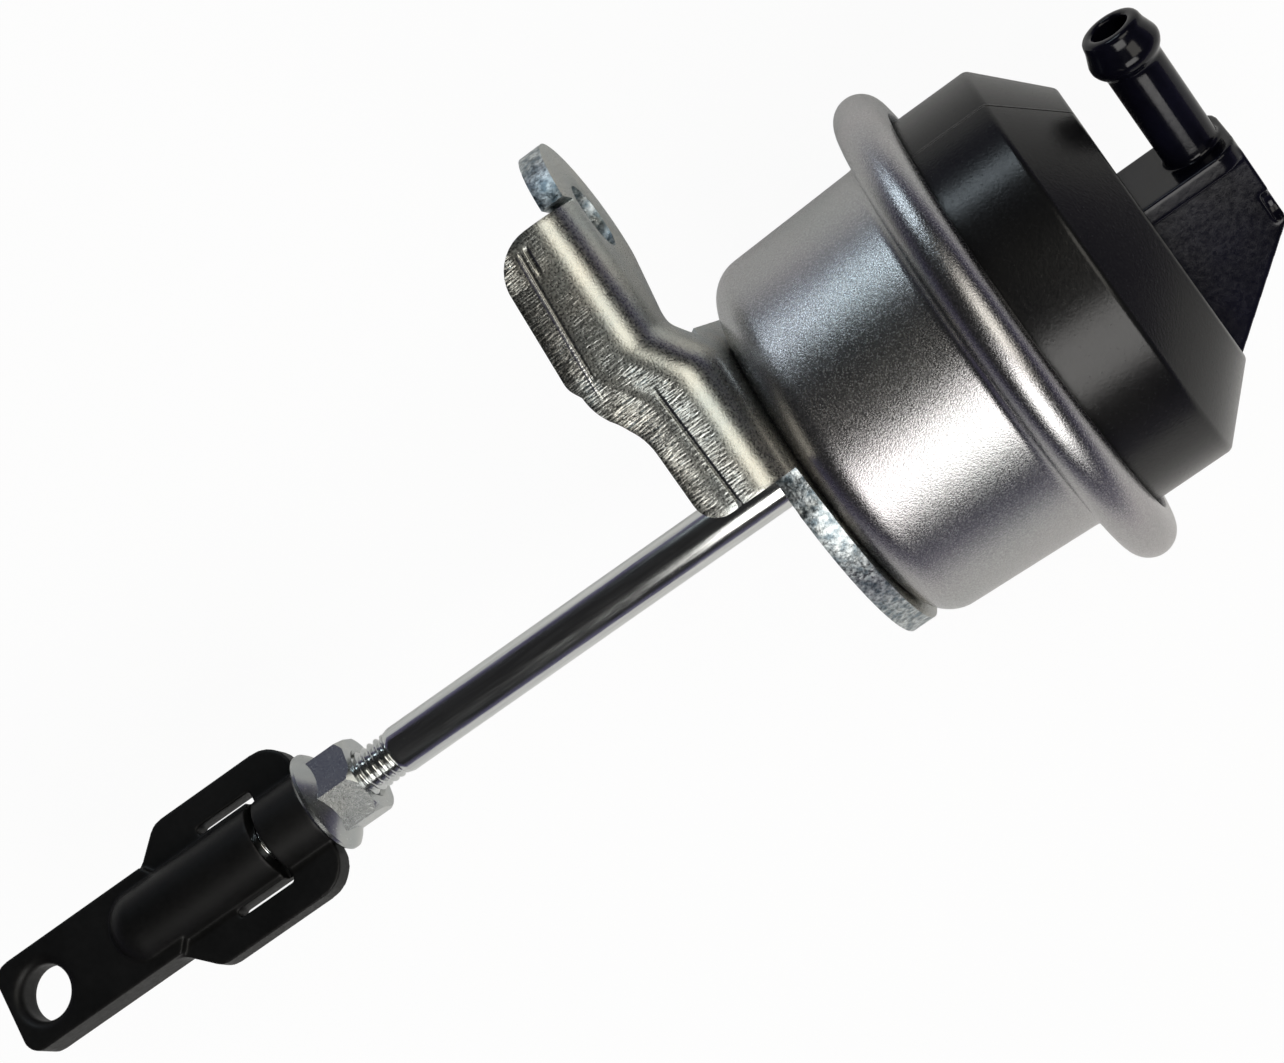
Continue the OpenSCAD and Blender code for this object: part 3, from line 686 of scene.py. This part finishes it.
def evaluated(base):
    """Mesh of a helper solid with its modifiers applied."""
    bpy.context.view_layer.update()
    seen = base.evaluated_get(bpy.context.evaluated_depsgraph_get())
    shape = bmesh.new()
    shape.from_mesh(seen.to_mesh())
    return shape


def combined(base, joined=(), cut=()):
    """Mesh of a helper solid with others joined to it or cut from it, as one moulding."""
    for other, way in [(o, "UNION") for o in joined] + [(o, "DIFFERENCE") for o in cut]:
        step = base.modifiers.new("step", "BOOLEAN")
        step.operation = way
        step.solver = "EXACT"
        step.object = other
    shape = evaluated(base)
    for helper in [base, *joined, *cut]:
        bpy.data.objects.remove(helper)
    return shape


def softened(shape, voxel, passes):
    """The moulding with its edges and inner corners rounded as the tool leaves them."""
    base = solid("softened", shape)
    step = base.modifiers.new("skin", "REMESH")
    step.mode = "VOXEL"
    step.voxel_size = voxel
    result = evaluated(base)
    bpy.data.objects.remove(base)
    for _ in range(passes):
        bmesh.ops.smooth_vert(result, verts=result.verts, factor=0.5,
                              use_axis_x=True, use_axis_y=True, use_axis_z=True)
    return result


block = solid("block", extruded(
    [(-19, PORT_FOOT), (4.6, PORT_FOOT)] + arc((3.2, BLOCK_TOP), 1.4, 0, 90, 4)
    + arc((-6.8, BLOCK_TOP), 1.4, 90, 145, 4) + [(-19, TOP_Z)], -4.5, 4.5, "Y"))
collar = solid("collar", extruded(
    [(-6.2, PORT_FOOT), (6.2, PORT_FOOT)] + arc((3.2, TOP_Z + 10), 3, 0, 90, 6)
    + arc((-3.2, TOP_Z + 10), 3, 90, 180, 6), 2.6, 5.0, "X"))
tube_shape = turned(
    [(0, 3.0), (TUBE_R, 3.0), (TUBE_R, 18.2), (4.2, 19), (BARB_R, 19.7), (BARB_R, 20.3),
     (3.85, 22.1), (3.7, 23.1), (3.3, 23.5), (0, 23.5)], 64, closed=False)
bore_shape = turned([(0, -1), (NIPPLE_BORE_R, -1), (NIPPLE_BORE_R, 26), (0, 26)], 48,
                    closed=False)
for shape in (tube_shape, bore_shape):
    rotate_shape(shape, 90, "Y")
    bmesh.ops.translate(shape, verts=shape.verts, vec=(0, 0, NIPPLE_Z))
tube = solid("tube", tube_shape)
bore = solid("bore", bore_shape)
dimple_shape = bmesh.new()
bmesh.ops.create_cone(dimple_shape, cap_ends=True, segments=32, radius1=2.1, radius2=2.1,
                      depth=2.6)
bmesh.ops.translate(dimple_shape, verts=dimple_shape.verts, vec=(-5, 5, TOP_Z + 13))
dimple = solid("dimple", dimple_shape)
port_shape = softened(combined(block, (collar, tube), (bore, dimple)), 0.22, 3)
rotate_shape(port_shape, PORT_TURN, "Z")
port_plastic = grained("port_plastic", ((0.003, 0.003, 0.006), (0.006, 0.006, 0.014)), 90, 1400,
                       0.1, (0.1, 0.18), 0.12, 0.0, specular=0.25)
piece("port_and_nipple", port_shape, "housing", (), 60, port_plastic)

# ---------------------------------------------------------------- rod
# Drawn steel rod, bright zinc-plated, with a rolled M6 thread at its foot that carries the
# nut and the rod end. Its upper end is riveted through the piston.
bright_rod = grained("bright_rod", ((0.66, 0.68, 0.68), (0.78, 0.78, 0.75)), 90, 2600,
                     0.12, (0.12, 0.2), 0.25, 1.0, (1.0, 1.0, 0.05))
ROD_R = 3.15
THREAD_R = 2.95
THREAD_FROM = 14.0
THREAD_TO = 56.5
TENON_R = 2.2
RIVET_R = 3.8
piece("rod_shank", turned(
    [(0, THREAD_TO - 0.3), (2.7, THREAD_TO - 0.3), (THREAD_R, THREAD_TO), (ROD_R, 57.2),
     (ROD_R, 145), (ROD_R, 156.0), (TENON_R, 156.0), (TENON_R, 163.0), (RIVET_R, 163.0),
     (RIVET_R, 163.4), (2.6, 164.3), (0, 164.3)],
    96, closed=False), "rod_assembly", ("rod",), 30, bright_rod)

# The flank of one turn is spun up past both ends, then cut off level and capped
PITCH = 1.0
TURNS = 45
TURN_STEPS = 40
ROOT_R = 2.45
flank = [(THREAD_R, -0.06), (THREAD_R, 0.06), (ROOT_R, 0.42), (ROOT_R - 0.03, 0.5),
         (ROOT_R, 0.58), (THREAD_R, 0.94)]
thread_shape = bmesh.new()
dots = [thread_shape.verts.new((r, 0, THREAD_FROM + (z - 1) * PITCH)) for r, z in flank]
lines = [thread_shape.edges.new(pair) for pair in zip(dots, dots[1:])]
bmesh.ops.spin(thread_shape, geom=dots + lines, cent=(0, 0, 0), axis=(0, 0, 1),
               dvec=(0, 0, PITCH / TURN_STEPS), angle=math.tau * TURNS,
               steps=TURN_STEPS * TURNS, use_merge=False)
bmesh.ops.remove_doubles(thread_shape, verts=thread_shape.verts, dist=0.002)
for z, way in ((THREAD_FROM, -1), (THREAD_TO, 1)):
    cut = divide(thread_shape, (0, 0, z), (0, 0, way), clear_outer=True)
    rim = [g for g in cut["geom_cut"] if isinstance(g, bmesh.types.BMEdge)]
    bmesh.ops.contextual_create(thread_shape, geom=rim)
bmesh.ops.recalc_face_normals(thread_shape, faces=thread_shape.faces)
piece("rod_thread", thread_shape, "rod_assembly", (), 25, bright_rod)

# ---------------------------------------------------------------- lock nut
# M6 flange nut, 10 mm across its flats, zinc-plated. It is run down on the rod end.
NUT_Z = 44.6
NUT_H = 7.25
NUT_TOP = NUT_Z + NUT_H
NUT_CORNER_R = 5.7735
NUT_TURN = -10
FLANGE_R = 6.9
NUT_BORE_R = 3.0
bright_nut = grained("bright_nut", ((0.44, 0.46, 0.46), (0.5, 0.51, 0.49)), 200, 2600,
                     0.0, (0.22, 0.28), 0.0, 1.0)
hexagon_shape = bmesh.new()
bmesh.ops.create_cone(hexagon_shape, cap_ends=True, segments=6, radius1=NUT_CORNER_R,
                      radius2=NUT_CORNER_R, depth=NUT_H)
rotate_shape(hexagon_shape, NUT_TURN, "Z")
bmesh.ops.translate(hexagon_shape, verts=hexagon_shape.verts, vec=(0, 0, NUT_Z + NUT_H / 2))
hexagon = solid("hexagon", hexagon_shape)
chamfer = solid("chamfer", turned(
    [(4.9, NUT_TOP + 0.5), (5.85, NUT_TOP - 1.05), (8, NUT_TOP - 1.05), (8, NUT_TOP + 1),
     (4.7, NUT_TOP + 1)], 96))
flange = solid("flange", turned(
    [(0, NUT_Z), (FLANGE_R - 0.3, NUT_Z), (FLANGE_R, NUT_Z + 0.35), (FLANGE_R, NUT_Z + 0.8),
     (6.45, NUT_Z + 1.3), (5.0, NUT_Z + 2.5), (0, NUT_Z + 2.5)], 96, closed=False))
nut_bore = solid("nut_bore", turned(
    [(0, NUT_Z - 1), (NUT_BORE_R + 0.5, NUT_Z - 1), (NUT_BORE_R + 0.5, NUT_Z),
     (NUT_BORE_R, NUT_Z + 0.5), (NUT_BORE_R, NUT_TOP - 0.5), (NUT_BORE_R + 0.5, NUT_TOP),
     (NUT_BORE_R + 0.5, NUT_TOP + 1), (0, NUT_TOP + 1)], 64, closed=False))
nut = piece("lock_nut_hex", combined(hexagon, (flange,), (chamfer, nut_bore)), "rod_assembly",
            ("lock_nut",), 20, bright_nut)
rounded(nut, 0.00028, 3, 25)

# ---------------------------------------------------------------- rod end
# Black moulded rod end, screwed on the rod: a flat eye with rounded mouths, a barrel between
# two flat wings, and a spring tongue freed by a slot.
EYE_TURN = -21
EYE_T = 5.0
WING_T = 3.0
EYE_R = 3.6
MOUTH_R = 1.3
BARREL_R = 5.3
TONGUE_X = 5.6
TONGUE_FROM = 28.4
TONGUE_TO = 36.0
SLOT = 1.1
tip = arc((4.0, -3.1), 2.4, 275, 360, 8)
half = (
    tip
    + arc((9.4, 17.8), 3, 180, 130, 6)
    + arc((7.6, 24.6), 3, 310, 360, 6)
    + arc((6.2, NUT_Z - 5.0), 4.4, 0, 80, 8)
    + [(BARREL_R, NUT_Z - 0.6)]
)
eye_half = tip + [(6.4, 19.5), (4.0, 21.5)]


def mirrored(points):
    """Whole outline from its half on one side of the axis."""
    return points + [(-x, z) for x, z in reversed(points)]


wings = solid("wings", extruded(mirrored(half), -WING_T / 2, WING_T / 2, "Y"))
eye_plate = solid("eye_plate", extruded(mirrored(eye_half), -EYE_T / 2, EYE_T / 2, "Y"))
barrel = solid("barrel", turned(
    [(0, 11.5)] + arc((0.7, 16.1), 4.6, -80, 0, 8)
    + [(BARREL_R, NUT_Z - 0.5), (BARREL_R - 0.5, NUT_Z), (0, NUT_Z)], 64, closed=False))
mouth_x = EYE_R + MOUTH_R
mouth_y = EYE_T / 2 - MOUTH_R
eye_bore_shape = turned(
    [(0, -EYE_T), (mouth_x, -EYE_T), (mouth_x, -EYE_T / 2)]
    + arc((mouth_x, -mouth_y), MOUTH_R, 270, 180, 6)
    + arc((mouth_x, mouth_y), MOUTH_R, 180, 90, 6)
    + [(mouth_x, EYE_T / 2), (mouth_x, EYE_T), (0, EYE_T)], 64, closed=False)
rotate_shape(eye_bore_shape, 90, "X")
eye_bore = solid("eye_bore", eye_bore_shape)
rod_bore = solid("rod_bore", turned(
    [(0, 12.8), (NUT_BORE_R, 12.8), (NUT_BORE_R, 50), (0, 50)], 48, closed=False))
slot_end = TONGUE_TO + SLOT
slots = []
for side in (-1, 1):
    near, far = side * TONGUE_X, side * (TONGUE_X + SLOT)
    slots.append(solid("slot", extruded(
        [(near, TONGUE_FROM), (far, TONGUE_FROM), (far, slot_end), (near, slot_end)],
        -10, 10, "Y")))
cross_x = TONGUE_X + 0.5
slots.append(solid("slot", extruded(
    [(-cross_x, TONGUE_TO), (cross_x, TONGUE_TO), (cross_x, slot_end), (-cross_x, slot_end)],
    0, 10, "Y")))
rod_end_shape = softened(combined(wings, (eye_plate, barrel), [eye_bore, rod_bore] + slots),
                         0.2, 3)
rotate_shape(rod_end_shape, EYE_TURN, "Z")
satin_black = grained("satin_black", ((0.004, 0.004, 0.004), (0.008, 0.008, 0.008)), 80, 1500,
                      0.1, (0.4, 0.5), 0.15, 0.0, specular=0.2)
piece("rod_end_moulded", rod_end_shape, "rod_assembly",
      ("rod_end",), 60, satin_black)

# ---------------------------------------------------------------- inner pieces
# Guide bush with its rubber wiper, and the pressed plates, spring and diaphragm inside the
# can. They keep their CAD shapes, with the finish of sintered bronze, rubber and steel.
bush_bronze = grained("bush_bronze", ((0.42, 0.3, 0.16), (0.52, 0.39, 0.22)), 150, 2500,
                      0.25, (0.35, 0.5), 0.4, 1.0)
moulded_rubber = grained("moulded_rubber", ((0.015, 0.015, 0.015), (0.03, 0.03, 0.03)), 100,
                         1800, 0.15, (0.65, 0.8), 0.3, 0.0)
pressed_zinc = grained("pressed_zinc", ((0.52, 0.53, 0.54), (0.62, 0.62, 0.6)), 100, 2200,
                       0.15, (0.25, 0.4), 0.3, 1.0)
spring_wire = grained("spring_wire", ((0.2, 0.2, 0.21), (0.32, 0.32, 0.33)), 150, 1800,
                      0.2, (0.3, 0.45), 0.3, 1.0)
for name, finish in (
    ("guide_bush", bush_bronze), ("rod_wiper", moulded_rubber), ("diaphragm", moulded_rubber),
    ("spring_seat", pressed_zinc), ("piston_cup", pressed_zinc),
    ("retainer_plate", pressed_zinc), ("backing_washer", pressed_zinc),
    ("return_spring", spring_wire),
):
    data = nodes[name].data
    data.materials.clear()
    data.materials.append(finish)
